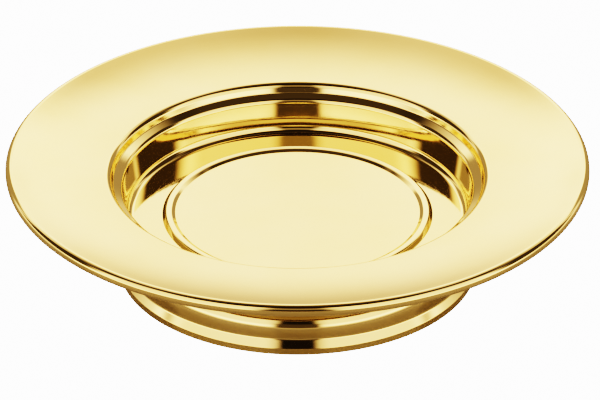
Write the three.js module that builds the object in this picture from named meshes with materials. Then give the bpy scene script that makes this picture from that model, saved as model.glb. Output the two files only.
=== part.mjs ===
// An offering plate: a spun metal dish with a broad dished brim, a stepped well and a raised bead round
// its middle, standing on a spun foot ring that is brazed to its underside. Millimetres, +Z up, and
// the origin is at the middle of the foot, on the surface that the plate stands on.
import * as THREE from "three";

// Driving dimensions
const RIM_RADIUS = 123;
const OVERALL_HEIGHT = 50.3;
const DISH_SHEET = 1;
const FOOT_SHEET = 1;
const ASSEMBLY_GAP = 0.3;

// The rim and the brim
const RIM_ROLL_RADIUS = 2.6; // outside radius of the rolled edge
const RIM_ROLL_END = THREE.MathUtils.degToRad(-165); // where the roll stops, just short of the brim
const BRIM_RIM_SLOPE = THREE.MathUtils.degToRad(14); // how steeply the brim meets the roll
const BRIM_LIP_SLOPE = THREE.MathUtils.degToRad(3.5); // how steeply it meets the lip
const LIP_RADIUS = 79; // where the brim turns down into the well
const LIP_ROUNDING = 2.8;

// The well's wall, with a sloping ledge a third of the way down that the foot of a plate stacked on
// this one stands on
const STEP_RADIUS = 77.7; // the outside of the ledge
const STEP_HEIGHT = 40.2;
const STEP_ROUNDING = 0.7;
const LEDGE_INNER_RADIUS = 73.8;
const LEDGE_INNER_HEIGHT = 38.4;
const LEDGE_INNER_ROUNDING = 2.4;
const WELL_RADIUS = 72;
const WELL_FLOOR_HEIGHT = 24.3;
const WELL_ROUNDING = 3.4;

// The raised bead, and the shallow disc inside it
const BEAD_OUTER_FOOT = 57;
const BEAD_OUTER_RADIUS = 55.7;
const BEAD_OUTER_HEIGHT = 26.3;
const BEAD_OUTER_ROUNDING = 1.2;
const BEAD_INNER_RADIUS = 53.2;
const BEAD_INNER_HEIGHT = 26;
const BEAD_INNER_ROUNDING = 2;
const BEAD_FOOT_ROUNDING = 0.4;
const DISC_RADIUS = 51.7;
const DISC_EDGE_HEIGHT = 25.2;
const DISC_HEIGHT = 24.35;
const DISC_BEND_RADIUS = 35; // outside this the disc rises a little to its edge
const DISC_ROUNDING = 540;

// The foot ring
const FOOT_RADIUS = 76;
const FOOT_EDGE_HEIGHT = 2.7;
const FOOT_EDGE_ROUNDING = 1.2;
const FOOT_HEM_WIDTH = 2.4;
const WAIST_RADIUS = 73.9;
const COVE_HEIGHT = 6.3; // where the waist turns out to the flared foot
const COVE_ROUNDING = 3;
const SHOULDER_HEIGHT = 15.2; // where the waist and the shoulder would meet without their rounding
const SHOULDER_ROUNDING = 11.2;
const NECK_RADIUS = 66;
const NECK_HEIGHT = 18.9; // where the shoulder meets the neck
const NECK_ROUNDING = 2;
const FLANGE_RADIUS = 60;

// The braze
const BRAZE_OUTER_RADIUS = 67.4;
const BRAZE_LOW_ANGLE = THREE.MathUtils.degToRad(8); // where it ends on the neck's rounded top
const BRAZE_HOLLOW = 0.25; // how far its outer face sinks in between its two edges
const BRAZE_ARC_STEPS = 3;

const AROUND = 64; // flat facets round each turned piece
const MOST_TURN = THREE.MathUtils.degToRad(30); // between two facets of a rounded corner
const LONGEST_STEP = 12; // of a wide curve
const BRASS = { color: 0xd9b45a, metalness: 1, roughness: 0.08 };

// A section line through corners given as [radius, height, rounding]; a corner with no third value
// is sharp.
function roundedLine(corners) {
  const line = new THREE.Path();
  line.moveTo(corners[0][0], corners[0][1]);
  for (let i = 1; i < corners.length - 1; i += 1) {
    const corner = new THREE.Vector2(corners[i][0], corners[i][1]);
    const radius = corners[i][2] ?? 0;
    if (radius === 0) {
      line.lineTo(corner.x, corner.y);
      continue;
    }
    const back = new THREE.Vector2(corners[i - 1][0], corners[i - 1][1]).sub(corner).normalize();
    const ahead = new THREE.Vector2(corners[i + 1][0], corners[i + 1][1]).sub(corner).normalize();
    const half = Math.acos(THREE.MathUtils.clamp(back.dot(ahead), -1, 1)) / 2;
    const middle = back.clone().add(ahead).setLength(radius / Math.sin(half)).add(corner);
    const start = back.clone().multiplyScalar(radius / Math.tan(half)).add(corner);
    const end = ahead.clone().multiplyScalar(radius / Math.tan(half)).add(corner);
    const clockwise = back.cross(ahead) > 0;
    line.lineTo(start.x, start.y);
    line.absarc(middle.x, middle.y, radius, start.sub(middle).angle(), end.sub(middle).angle(), clockwise);
  }
  const last = corners[corners.length - 1];
  line.lineTo(last[0], last[1]);
  return line;
}

// The turn of an arc, which three.js draws as an ellipse.
function arcTurn(arc) {
  const turn = Math.abs(arc.aEndAngle - arc.aStartAngle);
  const wrong = arc.aClockwise === arc.aEndAngle > arc.aStartAngle;
  return wrong ? 2 * Math.PI - turn : turn;
}

// The points of a section line: the ends of its straight stretches, and enough points on its arcs.
function pointsAlong(line) {
  const points = [];
  for (const stretch of line.curves) {
    const turn = stretch.isEllipseCurve ? arcTurn(stretch) : 0;
    const steps = turn === 0 ? 1 : Math.max(2, turn / MOST_TURN, stretch.getLength() / LONGEST_STEP);
    points.push(...stretch.getPoints(Math.ceil(steps)));
  }
  return points.filter((point, i) => i === 0 || point.distanceTo(points[i - 1]) > 0.02);
}

// The point of a section line's sheet at a distance to its left.
function offsetPoint(points, i, distance) {
  const before = points[Math.max(i - 1, 0)];
  const after = points[Math.min(i + 1, points.length - 1)];
  const intoPoint = points[i].clone().sub(before);
  const outOfPoint = after.clone().sub(points[i]);
  if (intoPoint.length() === 0) intoPoint.copy(outOfPoint);
  if (outOfPoint.length() === 0) outOfPoint.copy(intoPoint);
  intoPoint.normalize();
  outOfPoint.normalize();
  const bisector = intoPoint.clone().add(outOfPoint);
  const left = new THREE.Vector2(-bisector.y, bisector.x).normalize();
  const stretch = left.dot(new THREE.Vector2(-intoPoint.y, intoPoint.x));
  return left.multiplyScalar(distance / stretch).add(points[i]);
}

// The outline of a sheet of the given thickness to the left of a section line. It ends on the axis
// if the line starts there, and closes on itself if it doesn't.
function sheetOutline(points, thickness) {
  const farSkin = points.map((point, i) => offsetPoint(points, i, thickness)).reverse();
  const onAxis = points[0].x === 0;
  return onAxis ? [...points, ...farSkin] : [...points, ...farSkin, points[0].clone()];
}

// A turned piece: an outline of radius and height swept once round the Z axis.
function turned(name, outline) {
  const geometry = new THREE.LatheGeometry(outline.reverse(), AROUND);
  geometry.rotateX(Math.PI / 2);
  const mesh = new THREE.Mesh(geometry, new THREE.MeshStandardMaterial(BRASS));
  mesh.name = name;
  return mesh;
}

// The dish's upper skin, from the middle of the disc out over the brim and round the rolled edge
// under the rim. The brim is one wide arc between its two slopes.
function dishSkin() {
  const rollMiddle = new THREE.Vector2(RIM_RADIUS - RIM_ROLL_RADIUS, OVERALL_HEIGHT - RIM_ROLL_RADIUS);
  const rollStart = Math.PI / 2 + BRIM_RIM_SLOPE;
  const brimEdge = new THREE.Vector2(Math.cos(rollStart), Math.sin(rollStart))
    .multiplyScalar(RIM_ROLL_RADIUS)
    .add(rollMiddle);
  const halfBrim = (brimEdge.x - LIP_RADIUS) / 2;
  const brimMiddle = [LIP_RADIUS + halfBrim, brimEdge.y - halfBrim * Math.tan(BRIM_RIM_SLOPE)];
  const lipHeight = brimMiddle[1] - halfBrim * Math.tan(BRIM_LIP_SLOPE);
  const brimRounding = (2 * halfBrim - 2 * LIP_ROUNDING) / (BRIM_RIM_SLOPE - BRIM_LIP_SLOPE);
  const line = roundedLine([
    [0, DISC_HEIGHT],
    [DISC_BEND_RADIUS, DISC_HEIGHT, DISC_ROUNDING],
    [DISC_RADIUS, DISC_EDGE_HEIGHT, BEAD_FOOT_ROUNDING],
    [BEAD_INNER_RADIUS, BEAD_INNER_HEIGHT, BEAD_INNER_ROUNDING],
    [BEAD_OUTER_RADIUS, BEAD_OUTER_HEIGHT, BEAD_OUTER_ROUNDING],
    [BEAD_OUTER_FOOT, WELL_FLOOR_HEIGHT, BEAD_FOOT_ROUNDING],
    [WELL_RADIUS, WELL_FLOOR_HEIGHT, WELL_ROUNDING],
    [LEDGE_INNER_RADIUS, LEDGE_INNER_HEIGHT, LEDGE_INNER_ROUNDING],
    [STEP_RADIUS, STEP_HEIGHT, STEP_ROUNDING],
    [LIP_RADIUS, lipHeight, LIP_ROUNDING],
    [...brimMiddle, brimRounding],
    brimEdge.toArray(),
  ]);
  line.absarc(rollMiddle.x, rollMiddle.y, RIM_ROLL_RADIUS, rollStart, RIM_ROLL_END, true);
  return pointsAlong(line);
}

function dish() {
  return turned("dish", sheetOutline(dishSkin(), -DISH_SHEET));
}

const flangeHeight = WELL_FLOOR_HEIGHT - DISH_SHEET - ASSEMBLY_GAP;

function footRing() {
  const skin = pointsAlong(roundedLine([
    [FLANGE_RADIUS, flangeHeight],
    [NECK_RADIUS, flangeHeight, NECK_ROUNDING],
    [NECK_RADIUS, NECK_HEIGHT, NECK_ROUNDING],
    [WAIST_RADIUS, SHOULDER_HEIGHT, SHOULDER_ROUNDING],
    [WAIST_RADIUS, COVE_HEIGHT, COVE_ROUNDING],
    [FOOT_RADIUS, FOOT_EDGE_HEIGHT, FOOT_EDGE_ROUNDING],
    [FOOT_RADIUS, 0],
    [FOOT_RADIUS - FOOT_HEM_WIDTH, 0],
  ]));
  return turned("foot_ring", sheetOutline(skin, -FOOT_SHEET));
}

// The ring of filler metal in the groove between the dish's floor and the rounded top of the neck. Its
// top lies one gap under the dish, which is level with the flange.
function brazeSeam() {
  const reach = NECK_ROUNDING + ASSEMBLY_GAP;
  const middle = [NECK_RADIUS - NECK_ROUNDING, flangeHeight - NECK_ROUNDING];
  const topAngle = Math.asin(NECK_ROUNDING / reach);
  const onNeck = new THREE.Path()
    .absarc(...middle, reach, BRAZE_LOW_ANGLE, topAngle, false)
    .getPoints(BRAZE_ARC_STEPS);
  const top = new THREE.Vector2(BRAZE_OUTER_RADIUS, flangeHeight);
  const face = top.clone().add(onNeck[0]).divideScalar(2);
  face.x -= BRAZE_HOLLOW;
  return turned("braze_seam", [onNeck[onNeck.length - 1].clone(), top, face, ...onNeck]);
}

const plate = new THREE.Group();
plate.add(dish(), footRing(), brazeSeam());

export default plate;
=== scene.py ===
"""An offering plate of polished brass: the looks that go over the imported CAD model.

Each CAD node is replaced by the same piece, turned finely enough for its mirror finish. Then come
the floor, the studio and the camera. Sizes are in millimetres until a mesh is made.
"""

import math

import bpy
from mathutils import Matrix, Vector


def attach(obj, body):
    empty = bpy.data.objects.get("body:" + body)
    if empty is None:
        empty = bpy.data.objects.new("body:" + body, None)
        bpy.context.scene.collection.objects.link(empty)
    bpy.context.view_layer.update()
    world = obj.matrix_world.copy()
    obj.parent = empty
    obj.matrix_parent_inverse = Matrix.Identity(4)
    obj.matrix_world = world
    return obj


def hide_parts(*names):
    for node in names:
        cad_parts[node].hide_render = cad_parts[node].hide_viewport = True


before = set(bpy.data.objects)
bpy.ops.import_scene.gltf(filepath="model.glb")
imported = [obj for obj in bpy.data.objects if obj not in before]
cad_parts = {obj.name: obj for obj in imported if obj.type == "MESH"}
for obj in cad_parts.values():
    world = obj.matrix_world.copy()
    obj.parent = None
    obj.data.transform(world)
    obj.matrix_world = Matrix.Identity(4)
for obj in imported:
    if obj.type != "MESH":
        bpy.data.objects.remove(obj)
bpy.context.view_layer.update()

MM = 0.001

# The plate, as in the CAD model
RIM_RADIUS = 123
OVERALL_HEIGHT = 50.3
DISH_SHEET = 1
FOOT_SHEET = 1
ASSEMBLY_GAP = 0.3

RIM_ROLL_RADIUS = 2.6
RIM_ROLL_TURN = math.radians(269)
BRIM_RIM_SLOPE = math.radians(14)
BRIM_LIP_SLOPE = math.radians(3.5)
LIP_RADIUS = 79
LIP_ROUNDING = 2.8

STEP_RADIUS = 77.7  # the foot of the short slope under the lip
STEP_HEIGHT = 40.2
STEP_ROUNDING = 0.7
LEDGE_INNER_RADIUS = 73.8
LEDGE_INNER_HEIGHT = 38.4
LEDGE_INNER_ROUNDING = 2.4
WELL_RADIUS = 72
WELL_FLOOR_HEIGHT = 24.3
WELL_ROUNDING = 3.4

BEAD_OUTER_FOOT = 57
BEAD_OUTER_RADIUS = 55.7
BEAD_OUTER_HEIGHT = 26.3
BEAD_OUTER_ROUNDING = 1.2
BEAD_INNER_RADIUS = 53.2
BEAD_INNER_HEIGHT = 26
BEAD_INNER_ROUNDING = 2
BEAD_FOOT_ROUNDING = 0.4
DISC_RADIUS = 51.7
DISC_EDGE_HEIGHT = 25.2
DISC_HEIGHT = 24.35
DISC_BEND_RADIUS = 35  # outside this the disc rises a little to its edge
DISC_ROUNDING = 540

FOOT_RADIUS = 76
FOOT_EDGE_HEIGHT = 2.7
FOOT_EDGE_ROUNDING = 1.2
FOOT_HEM_WIDTH = 2.4
WAIST_RADIUS = 73.9
COVE_HEIGHT = 6.3
COVE_ROUNDING = 3
SHOULDER_HEIGHT = 15.2
SHOULDER_ROUNDING = 11.2
NECK_RADIUS = 66
NECK_HEIGHT = 18.9
NECK_ROUNDING = 2
FLANGE_RADIUS = 60
FLANGE_HEIGHT = WELL_FLOOR_HEIGHT - DISH_SHEET - ASSEMBLY_GAP

BRAZE_OUTER_RADIUS = 67.4
BRAZE_LOW_ANGLE = math.radians(8)
BRAZE_HOLLOW = 0.25
BRAZE_EDGE_LEAN = 0.4  # radians that the normals at the two edges lean away from the middle's

AROUND = 256
ARC_STEP = math.radians(6)
LEAST_ARC_STEPS = 3
LONGEST_STEP = 6  # along a wide curve
SAME_PLACE = 1e-6  # outline points this close to each other, or to the axis, meet

# Polished brass. Noise scales are per metre, and depths are in metres.
BRASS_LIGHT = (0.9, 0.78, 0.48)
BRASS_DEEP = (0.88, 0.74, 0.42)
DISH_POLISH = 0.05  # middle roughness
FOOT_POLISH = 0.055
BRIGHTEST_POLISH = 0.6  # share of the middle roughness
DULLEST_POLISH = 1.8
SECTION_SHARE = 0.73  # of height in the coordinate along a turned section
RING_SCALE = 900
RING_DEPTH = 0.0000025
RING_SHARE = 0.6  # of the lathe's rings in the roughness
WIPING_SHARE = 0.4
WIPING_SCALE = 60
WAVE_SCALE = 45
WAVE_DEPTH = 0.00004
TINT_SCALE = 25
BRAZE_PALE = (0.93, 0.84, 0.6)
BRAZE_SMOOTHEST = 0.2  # roughness
BRAZE_ROUGHEST = 0.4
BRAZE_RIPPLE_SCALE = 700
BRAZE_RIPPLE_DEPTH = 0.00008
NOISE_LOW = 0.3  # almost all of a noise texture's values lie between these
NOISE_HIGH = 0.7

# The studio: a warm tent round the plate, with bright panels and dark openings
WHITE_RADIANCE_SEEN = 6.5  # of the floor and the backdrop, where the camera sees them
LIGHT_TINT = (1.08, 0.74, 0.4)
TENT_RADIANCE = 0.7

# Angles in degrees. Azimuth runs from the camera's side (0) round either side to the back (180), and
# elevation is above the table. Each row covers the rows before it.
PANELS = [
    # name, azimuth (from, to, softness), elevation (from, to, softness), radiance
    ("back", (60, 190, 25), (11, 46, 12), 2.9),
    ("back corner", (138, 166, 7), (-10, 25, 4), 0.4),
    ("low back corner", (138, 160, 5), (-10, 14, 4), 0.1),
    ("side corner", (134, 161, 4), (-10, 32, 3), 0.35),
    ("high back corner", (138, 170, 9), (38, 70, 8), 0.9),
    ("low front panels", (16, 94, 8), (5, 15, 3), 3.4),
    ("front panels", (16, 78, 6), (12, 80, 6), 1.8),
    ("low camera gap", (-20, 12, 3), (3, 37, 4), 0.02),
    ("camera stand", (-20, 14, 3), (3, 19, 3), 0.08),
    ("high camera gap", (-20, 12, 3), (39, 95, 4), 0.27),
    ("low side gap", (84, 132, 6), (14, 36, 2), 0.06),
    ("side gap", (92, 139, 8), (31, 50, 3), 0.06),
    ("side top", (95, 150, 10), (48, 95, 6), 0.05),
    ("zenith", (-20, 200, 5), (60, 95, 4), 0.07),
    ("front top", (-20, 90, 5), (62, 95, 4), 0.02),
]

# The floor
FLOOR_HALF_WIDTH = 16  # metres
FLOOR_DROP = 0.0001  # metres under the foot
FLOOR_WHITE = 0.36
FLOOR_SHINE = 0.05
FLOOR_SHINE_ROUGHNESS = 0.15

# The camera, in metres
CAMERA_ELEVATION = math.radians(29.14)
CAMERA_DISTANCE = 20 * RIM_RADIUS * MM
CAMERA_SENSOR_WIDTH = 36  # millimetres, and so is the lens
CAMERA_LENS = 350.6
CAMERA_SHIFT_X = 0.00105
CAMERA_AIM_HEIGHT = 0.0307
CAMERA_REACH = 100


def rotated(vector, angle):
    """A plane vector turned anticlockwise."""
    cosine, sine = math.cos(angle), math.sin(angle)
    return Vector((vector.x * cosine - vector.y * sine, vector.x * sine + vector.y * cosine))


def arc(start, ahead, radius, turn):
    """Points and directions along an arc; a positive turn is anticlockwise."""
    side = 1 if turn > 0 else -1
    spoke = rotated(ahead, -side * math.pi / 2) * radius
    steps_by_turn = math.ceil(abs(turn) / ARC_STEP)
    steps_by_length = math.ceil(abs(turn) * radius / LONGEST_STEP)
    steps = max(LEAST_ARC_STEPS, steps_by_turn, steps_by_length)
    middle = start - spoke
    turns = [turn * k / steps for k in range(steps + 1)]
    return [(middle + rotated(spoke, angle), rotated(ahead, angle)) for angle in turns]


def rounded_line(corners):
    """The line, as (point, direction), through corners given as (radius, height, rounding)."""
    points = [Vector(corner[:2]) for corner in corners]
    line = [(points[0], (points[1] - points[0]).normalized())]
    for before, point, after, corner in zip(points, points[1:], points[2:], corners[1:]):
        into = (point - before).normalized()
        out = (after - point).normalized()
        turn = math.atan2(into.x * out.y - into.y * out.x, into.dot(out))
        rounding = corner[2]
        if rounding == 0:
            line += [(point, into), (point, out)]
            continue
        setback = rounding * math.tan(abs(turn) / 2)
        line += arc(point - into * setback, into, rounding, turn)
    line.append((points[-1], line[-1][1]))
    return line


def across_sheet(skin, i):
    """The way from a point of a sheet's outer skin to its inner one, for a sheet one unit thick. Two
    points in one place are a sharp corner, where the way is mitred."""
    point, normal = skin[i]
    beside = skin[max(i - 1, 0):i + 2]
    normals = [other for place, other in beside if (place - point).length < SAME_PLACE]
    ways = [-(normal + other) / (1 + normal.dot(other)) for other in normals]
    return max(ways, key=lambda way: way.length)


def sheet_outline(line, thickness, closed):
    """The outline, as (point, outward normal), of a sheet to the right of a section line."""
    skin = [(point, rotated(ahead, math.pi / 2)) for point, ahead in line]
    back = [
        (point + across_sheet(skin, i) * thickness, -normal)
        for i, (point, normal) in enumerate(skin)
    ]
    back.reverse()
    if not closed:
        return skin + back
    end_ahead = line[-1][1]
    start_back = -line[0][1]
    end = [(skin[-1][0], end_ahead), (back[0][0], end_ahead)]
    start = [(back[-1][0], start_back), (skin[0][0], start_back)]
    return skin + end + back + start


def turned(name, outline):
    """A mesh object: an outline swept round the Z axis, with the outline's own normals."""
    vertices, normals, faces = [], [], []
    count = len(outline)
    for i in range(AROUND):
        angle = 2 * math.pi * i / AROUND
        cosine, sine = math.cos(angle), math.sin(angle)
        for point, normal in outline:
            vertices.append((point.x * cosine * MM, point.x * sine * MM, point.y * MM))
            normals.append((normal.x * cosine, normal.x * sine, normal.y))
    for i in range(AROUND):
        here, there = i * count, (i + 1) % AROUND * count
        for k in range(count):
            following = (k + 1) % count
            point, after = outline[k][0], outline[following][0]
            on_axis = abs(point.x) < SAME_PLACE
            after_on_axis = abs(after.x) < SAME_PLACE
            if (on_axis and after_on_axis) or (point - after).length < SAME_PLACE:
                continue
            face = [here + k, here + following]
            if not after_on_axis:
                face.append(there + following)
            if not on_axis:
                face.append(there + k)
            faces.append(face)
    mesh = bpy.data.meshes.new(name)
    mesh.from_pydata(vertices, [], faces)
    mesh.polygons.foreach_set("use_smooth", [True] * len(faces))
    mesh.normals_split_custom_set_from_vertices(normals)
    piece = bpy.data.objects.new(name, mesh)
    bpy.context.scene.collection.objects.link(piece)
    return piece


def dish_line():
    """The dish's upper skin, from the middle of the disc out over the brim and round the roll."""
    roll_middle = Vector((RIM_RADIUS - RIM_ROLL_RADIUS, OVERALL_HEIGHT - RIM_ROLL_RADIUS))
    brim_edge = roll_middle + rotated(Vector((0, RIM_ROLL_RADIUS)), BRIM_RIM_SLOPE)
    half_brim = (brim_edge.x - LIP_RADIUS) / 2
    brim_middle = (LIP_RADIUS + half_brim, brim_edge.y - half_brim * math.tan(BRIM_RIM_SLOPE))
    lip_height = brim_middle[1] - half_brim * math.tan(BRIM_LIP_SLOPE)
    brim_rounding = (2 * half_brim - 2 * LIP_ROUNDING) / (BRIM_RIM_SLOPE - BRIM_LIP_SLOPE)
    line = rounded_line([
        (0, DISC_HEIGHT),
        (DISC_BEND_RADIUS, DISC_HEIGHT, DISC_ROUNDING),
        (DISC_RADIUS, DISC_EDGE_HEIGHT, BEAD_FOOT_ROUNDING),
        (BEAD_INNER_RADIUS, BEAD_INNER_HEIGHT, BEAD_INNER_ROUNDING),
        (BEAD_OUTER_RADIUS, BEAD_OUTER_HEIGHT, BEAD_OUTER_ROUNDING),
        (BEAD_OUTER_FOOT, WELL_FLOOR_HEIGHT, BEAD_FOOT_ROUNDING),
        (WELL_RADIUS, WELL_FLOOR_HEIGHT, WELL_ROUNDING),
        (LEDGE_INNER_RADIUS, LEDGE_INNER_HEIGHT, LEDGE_INNER_ROUNDING),
        (STEP_RADIUS, STEP_HEIGHT, STEP_ROUNDING),
        (LIP_RADIUS, lip_height, LIP_ROUNDING),
        (*brim_middle, brim_rounding),
        tuple(brim_edge),
    ])
    return line[:-1] + arc(brim_edge, line[-1][1], RIM_ROLL_RADIUS, -RIM_ROLL_TURN)


def foot_line():
    """The foot ring's outer skin, from the flange down to the hem."""
    return rounded_line([
        (FLANGE_RADIUS, FLANGE_HEIGHT),
        (NECK_RADIUS, FLANGE_HEIGHT, NECK_ROUNDING),
        (NECK_RADIUS, NECK_HEIGHT, NECK_ROUNDING),
        (WAIST_RADIUS, SHOULDER_HEIGHT, SHOULDER_ROUNDING),
        (WAIST_RADIUS, COVE_HEIGHT, COVE_ROUNDING),
        (FOOT_RADIUS, FOOT_EDGE_HEIGHT, FOOT_EDGE_ROUNDING),
        (FOOT_RADIUS, 0, 0),
        (FOOT_RADIUS - FOOT_HEM_WIDTH, 0),
    ])


def seam_outline():
    """The filler metal's outline: level on top, hollow outside, and round against the neck."""
    middle = Vector((NECK_RADIUS - NECK_ROUNDING, FLANGE_HEIGHT - NECK_ROUNDING))
    reach = NECK_ROUNDING + ASSEMBLY_GAP
    top_angle = math.asin(NECK_ROUNDING / reach)
    low = middle + rotated(Vector((reach, 0)), BRAZE_LOW_ANGLE)
    along_neck = rotated(Vector((0, 1)), BRAZE_LOW_ANGLE)
    on_neck = arc(low, along_neck, reach, top_angle - BRAZE_LOW_ANGLE)
    neck_side = [(point, rotated(ahead, math.pi / 2)) for point, ahead in on_neck]
    top = Vector((BRAZE_OUTER_RADIUS, FLANGE_HEIGHT))
    across = (low - top).normalized()
    outward = rotated(across, math.pi / 2)
    face = (top + low) / 2 - Vector((BRAZE_HOLLOW, 0))
    edge = [
        (top, rotated(outward, BRAZE_EDGE_LEAN)),
        (face, outward),
        (low, rotated(outward, -BRAZE_EDGE_LEAN)),
    ]
    level = [(on_neck[-1][0], Vector((0, 1))), (top, Vector((0, 1)))]
    return level + edge + neck_side


class Nodes:
    """Short ways to add a node to a node tree."""

    def __init__(self, tree):
        self.tree = tree

    def add(self, kind, **settings):
        node = self.tree.nodes.new(kind)
        for name, value in settings.items():
            setattr(node, name, value)
        return node

    def put(self, socket, value):
        if isinstance(value, bpy.types.NodeSocket):
            self.tree.links.new(value, socket)
        else:
            socket.default_value = value

    def math(self, operation, first, second=0.0, clamp=False):
        node = self.add("ShaderNodeMath", operation=operation, use_clamp=clamp)
        self.put(node.inputs[0], first)
        self.put(node.inputs[1], second)
        return node.outputs[0]

    def ramp(self, value, low, high):
        """0 below low, 1 above high, smooth between."""
        node = self.add("ShaderNodeMapRange", interpolation_type="SMOOTHSTEP")
        self.put(node.inputs["Value"], value)
        self.put(node.inputs["From Min"], low)
        self.put(node.inputs["From Max"], high)
        return node.outputs[0]

    def band(self, value, low, high, soft):
        """1 between low and high, 0 outside, with soft edges."""
        rise = self.ramp(value, low - soft, low + soft)
        fall = self.ramp(value, high - soft, high + soft)
        return self.math("SUBTRACT", rise, fall, clamp=True)


def round_the_axis(n):
    """The piece's own coordinates, and a coordinate that runs along its turned section."""
    place = n.add("ShaderNodeTexCoord").outputs["Object"]
    split = n.add("ShaderNodeSeparateXYZ")
    n.put(split.inputs[0], place)
    x, y, z = split.outputs
    radius = n.math("SQRT", n.math("ADD", n.math("MULTIPLY", x, x), n.math("MULTIPLY", y, y)))
    return place, n.math("ADD", radius, n.math("MULTIPLY", z, SECTION_SHARE))


def noise(n, scale, detail, place=None, along=None):
    """A noise value from a place in metres, or from one coordinate alone."""
    node = n.add("ShaderNodeTexNoise", noise_dimensions="3D" if along is None else "1D")
    n.put(node.inputs["Vector" if along is None else "W"], place if along is None else along)
    node.inputs["Scale"].default_value = scale
    node.inputs["Detail"].default_value = detail
    return node.outputs["Fac"]


def spread(n, value, low, high):
    """A noise value, which keeps to the middle, spread between low and high."""
    node = n.add("ShaderNodeMapRange")
    n.put(node.inputs["Value"], value)
    node.inputs["From Min"].default_value = NOISE_LOW
    node.inputs["From Max"].default_value = NOISE_HIGH
    node.inputs["To Min"].default_value = low
    node.inputs["To Max"].default_value = high
    return node.outputs[0]


def bump(n, height, depth, over=None):
    node = n.add("ShaderNodeBump")
    n.put(node.inputs["Height"], height)
    node.inputs["Distance"].default_value = depth
    if over is not None:
        n.put(node.inputs["Normal"], over)
    return node.outputs[0]


def brass(name, polish):
    """Spun brass: rings of finer and coarser polish from the lathe, hand wiping across them, a sheet
    that isn't quite even, and a tint that varies a little."""
    material = bpy.data.materials.new(name)
    material.use_nodes = True
    shader = material.node_tree.nodes["Principled BSDF"]
    n = Nodes(material.node_tree)
    place, section = round_the_axis(n)
    rings = noise(n, RING_SCALE, detail=6, along=section)
    wiping = noise(n, WIPING_SCALE, detail=3, place=place)
    waves = noise(n, WAVE_SCALE, detail=2, place=place)
    patches = noise(n, TINT_SCALE, detail=4, place=place)
    ring_marks = n.math("MULTIPLY", rings, RING_SHARE)
    marks = n.math("ADD", ring_marks, n.math("MULTIPLY", wiping, WIPING_SHARE))
    roughness = spread(n, marks, polish * BRIGHTEST_POLISH, polish * DULLEST_POLISH)
    n.put(shader.inputs["Roughness"], roughness)
    tint = n.add("ShaderNodeMix", data_type="RGBA")
    n.put(tint.inputs["Factor"], spread(n, patches, 0, 1))
    tint.inputs[6].default_value = (*BRASS_LIGHT, 1)
    tint.inputs[7].default_value = (*BRASS_DEEP, 1)
    n.put(shader.inputs["Base Color"], tint.outputs[2])
    shader.inputs["Metallic"].default_value = 1
    uneven = bump(n, waves, WAVE_DEPTH)
    n.put(shader.inputs["Normal"], bump(n, rings, RING_DEPTH, over=uneven))
    return material


def braze(name):
    """Filler metal: brass gone a little paler and duller than the sheet, with a rippled skin."""
    material = bpy.data.materials.new(name)
    material.use_nodes = True
    shader = material.node_tree.nodes["Principled BSDF"]
    n = Nodes(material.node_tree)
    place = n.add("ShaderNodeTexCoord").outputs["Object"]
    ripples = noise(n, BRAZE_RIPPLE_SCALE, detail=3, place=place)
    tint = n.add("ShaderNodeMix", data_type="RGBA")
    n.put(tint.inputs["Factor"], spread(n, ripples, 0, 1))
    tint.inputs[6].default_value = (*BRAZE_PALE, 1)
    tint.inputs[7].default_value = (*BRASS_DEEP, 1)
    n.put(shader.inputs["Base Color"], tint.outputs[2])
    n.put(shader.inputs["Roughness"], spread(n, ripples, BRAZE_SMOOTHEST, BRAZE_ROUGHEST))
    shader.inputs["Metallic"].default_value = 1
    n.put(shader.inputs["Normal"], bump(n, ripples, BRAZE_RIPPLE_DEPTH))
    return material


def finish_piece(piece, node, material):
    piece.data.materials.append(material)
    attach(piece, "root")
    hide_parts(node)


dish = turned("dish_turned", sheet_outline(dish_line(), DISH_SHEET, False))
foot = turned("foot_turned", sheet_outline(foot_line(), FOOT_SHEET, True))
seam = turned("seam_turned", seam_outline())
finish_piece(dish, "dish", brass("dish brass", DISH_POLISH))
finish_piece(foot, "foot_ring", brass("foot brass", FOOT_POLISH))
finish_piece(seam, "braze_seam", braze("braze"))


def seen_or_lighting(n, seen_kind, lighting):
    """Plain white where the camera sees the surroundings, and their lighting everywhere else."""
    seen = n.add(seen_kind)
    seen.inputs["Strength"].default_value = WHITE_RADIANCE_SEEN
    path = n.add("ShaderNodeLightPath")
    mix = n.add("ShaderNodeMixShader")
    n.put(mix.inputs[0], path.outputs["Is Camera Ray"])
    n.put(mix.inputs[1], lighting)
    n.put(mix.inputs[2], seen.outputs[0])
    return mix.outputs[0]


def tent_angles(n):
    """The azimuth and elevation of a direction, as in PANELS."""
    direction = n.add("ShaderNodeTexCoord").outputs["Generated"]
    split = n.add("ShaderNodeSeparateXYZ")
    n.put(split.inputs[0], direction)
    x, y, z = split.outputs
    degrees = math.degrees(1)
    sideways = n.math("ABSOLUTE", x)
    towards_camera = n.math("MULTIPLY", y, -1.0)
    azimuth = n.math("MULTIPLY", n.math("ARCTAN2", sideways, towards_camera), degrees)
    elevation = n.math("MULTIPLY", n.math("ARCSINE", z), degrees)
    return azimuth, elevation


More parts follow.
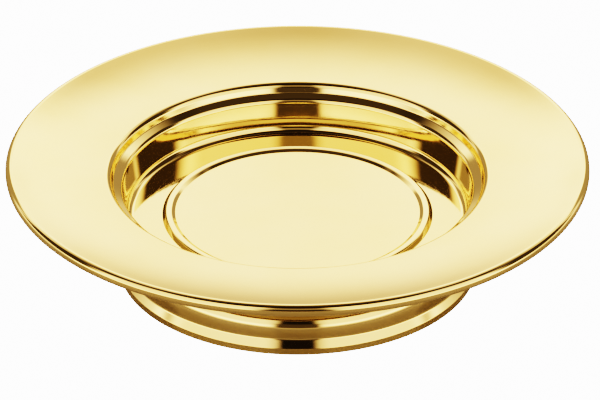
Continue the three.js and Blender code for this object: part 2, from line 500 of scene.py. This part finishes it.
def studio():
    world = bpy.data.worlds.new("studio")
    bpy.context.scene.world = world
    world.use_nodes = True
    tree = world.node_tree
    tree.nodes.clear()
    n = Nodes(tree)
    azimuth, elevation = tent_angles(n)
    level = TENT_RADIANCE
    for _, azimuth_range, elevation_range, radiance in PANELS:
        across = n.band(azimuth, *azimuth_range)
        mask = n.math("MULTIPLY", across, n.band(elevation, *elevation_range))
        change = n.math("MULTIPLY", mask, n.math("SUBTRACT", radiance, level))
        level = n.math("ADD", level, change)
    tent = n.add("ShaderNodeBackground")
    tent.inputs["Color"].default_value = (*LIGHT_TINT, 1)
    n.put(tent.inputs["Strength"], level)
    surroundings = seen_or_lighting(n, "ShaderNodeBackground", tent.outputs[0])
    n.put(n.add("ShaderNodeOutputWorld").inputs[0], surroundings)


def white_floor():
    """A matt white table with a faint shine."""
    material = bpy.data.materials.new("white floor")
    material.use_nodes = True
    tree = material.node_tree
    tree.nodes.clear()
    n = Nodes(tree)
    paper = n.add("ShaderNodeBsdfDiffuse")
    paper.inputs["Color"].default_value = (FLOOR_WHITE, FLOOR_WHITE, FLOOR_WHITE, 1)
    shine = n.add("ShaderNodeBsdfGlossy")
    shine.inputs["Roughness"].default_value = FLOOR_SHINE_ROUGHNESS
    table = n.add("ShaderNodeMixShader")
    table.inputs[0].default_value = FLOOR_SHINE
    n.put(table.inputs[1], paper.outputs[0])
    n.put(table.inputs[2], shine.outputs[0])
    surface = seen_or_lighting(n, "ShaderNodeEmission", table.outputs[0])
    n.put(n.add("ShaderNodeOutputMaterial").inputs[0], surface)
    return material


def floor():
    half = FLOOR_HALF_WIDTH
    corners = [(-half, -half, 0), (half, -half, 0), (half, half, 0), (-half, half, 0)]
    mesh = bpy.data.meshes.new("floor")
    mesh.from_pydata(corners, [], [(0, 1, 2, 3)])
    mesh.materials.append(white_floor())
    plane = bpy.data.objects.new("floor", mesh)
    plane.location.z = -FLOOR_DROP
    bpy.context.scene.collection.objects.link(plane)


def camera():
    data = bpy.data.cameras.new("camera")
    data.sensor_width = CAMERA_SENSOR_WIDTH
    data.lens = CAMERA_LENS
    data.clip_end = CAMERA_REACH
    eye = bpy.data.objects.new("camera", data)
    bpy.context.scene.collection.objects.link(eye)
    rim_height = (OVERALL_HEIGHT - RIM_ROLL_RADIUS) * MM
    eye.location = (
        CAMERA_SHIFT_X,
        -CAMERA_DISTANCE * math.cos(CAMERA_ELEVATION),
        rim_height + CAMERA_DISTANCE * math.sin(CAMERA_ELEVATION),
    )
    aim = Vector((CAMERA_SHIFT_X, 0, CAMERA_AIM_HEIGHT))
    eye.rotation_euler = (aim - eye.location).to_track_quat("-Z", "Y").to_euler()
    bpy.context.scene.camera = eye


studio()
floor()
camera()
view = bpy.context.scene.view_settings
view.view_transform = "Filmic"
view.look = "Very High Contrast"
